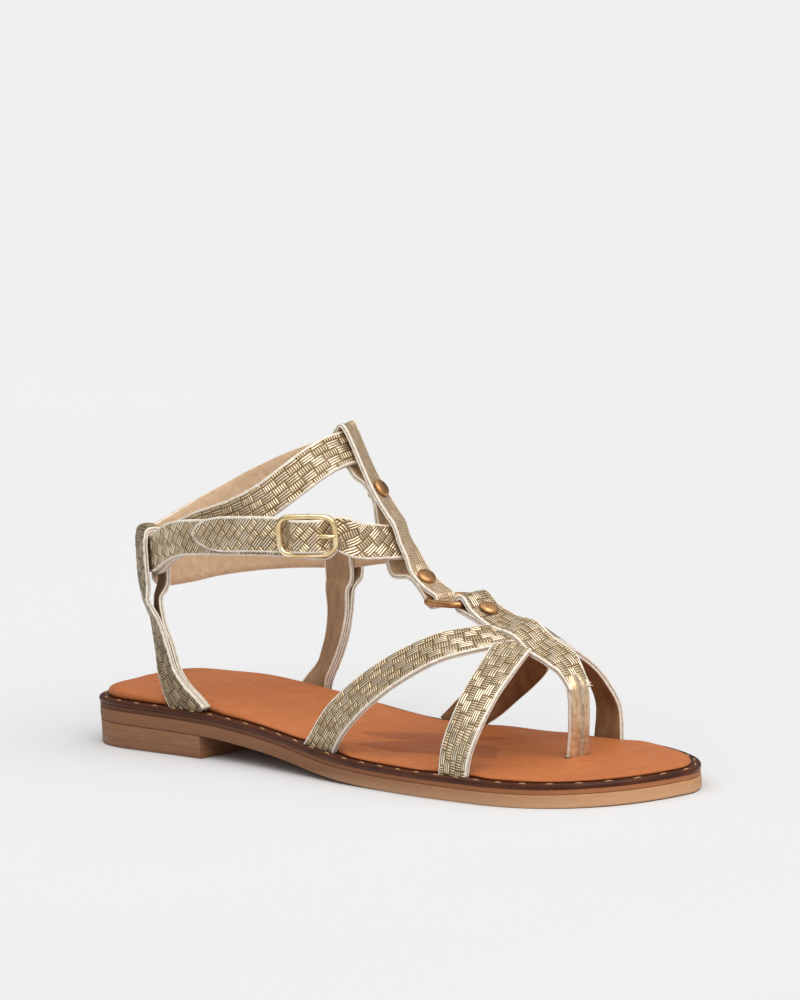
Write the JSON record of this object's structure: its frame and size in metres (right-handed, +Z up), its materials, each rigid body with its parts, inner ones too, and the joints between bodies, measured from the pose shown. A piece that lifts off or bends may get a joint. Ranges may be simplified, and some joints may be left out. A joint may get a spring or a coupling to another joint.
{
  "type": "gladiator sandal",
  "caption": "Flat right-foot gladiator sandal: low heel, padded footbed, toe post, crossed vamp straps, instep loop and a long ankle strap wrapped twice and buckled.",
  "frame": {"origin": "on the floor under the middle of the heel block", "axes": "+X to the toe, +Y to the inner (medial) side of the right foot, +Z up"},
  "size_m": [0.2649, 0.0796, 0.1136],
  "materials": {
    "outsole": "matte, edge dressed",
    "midsole": "satin",
    "welt": "waxed",
    "heel": "stacked, edge dressed",
    "footbed": "smooth, padded",
    "strap_leather": "metallic champagne, embossed basket weave",
    "rose_metal": "polished rose gold plate",
    "gold_metal": "polished pale gold plate"
  },
  "bodies": {
    "root": {"outsole": "outsole", "midsole": "midsole", "welt": "welt", "heel": "heel", "footbed": "footbed", "upper": "strap_leather", "instep_loop": "strap_leather", "ankle_strap": "strap_leather", "heel_strap_lateral": "strap_leather", "heel_strap_medial": "strap_leather", "ring": "rose_metal", "buckle_frame": "gold_metal", "buckle_prong": "gold_metal", "rivet_instep_upper": "rose_metal", "rivet_instep_lower": "rose_metal", "rivet_centre_strap": "rose_metal"}
  },
  "joints": []
}
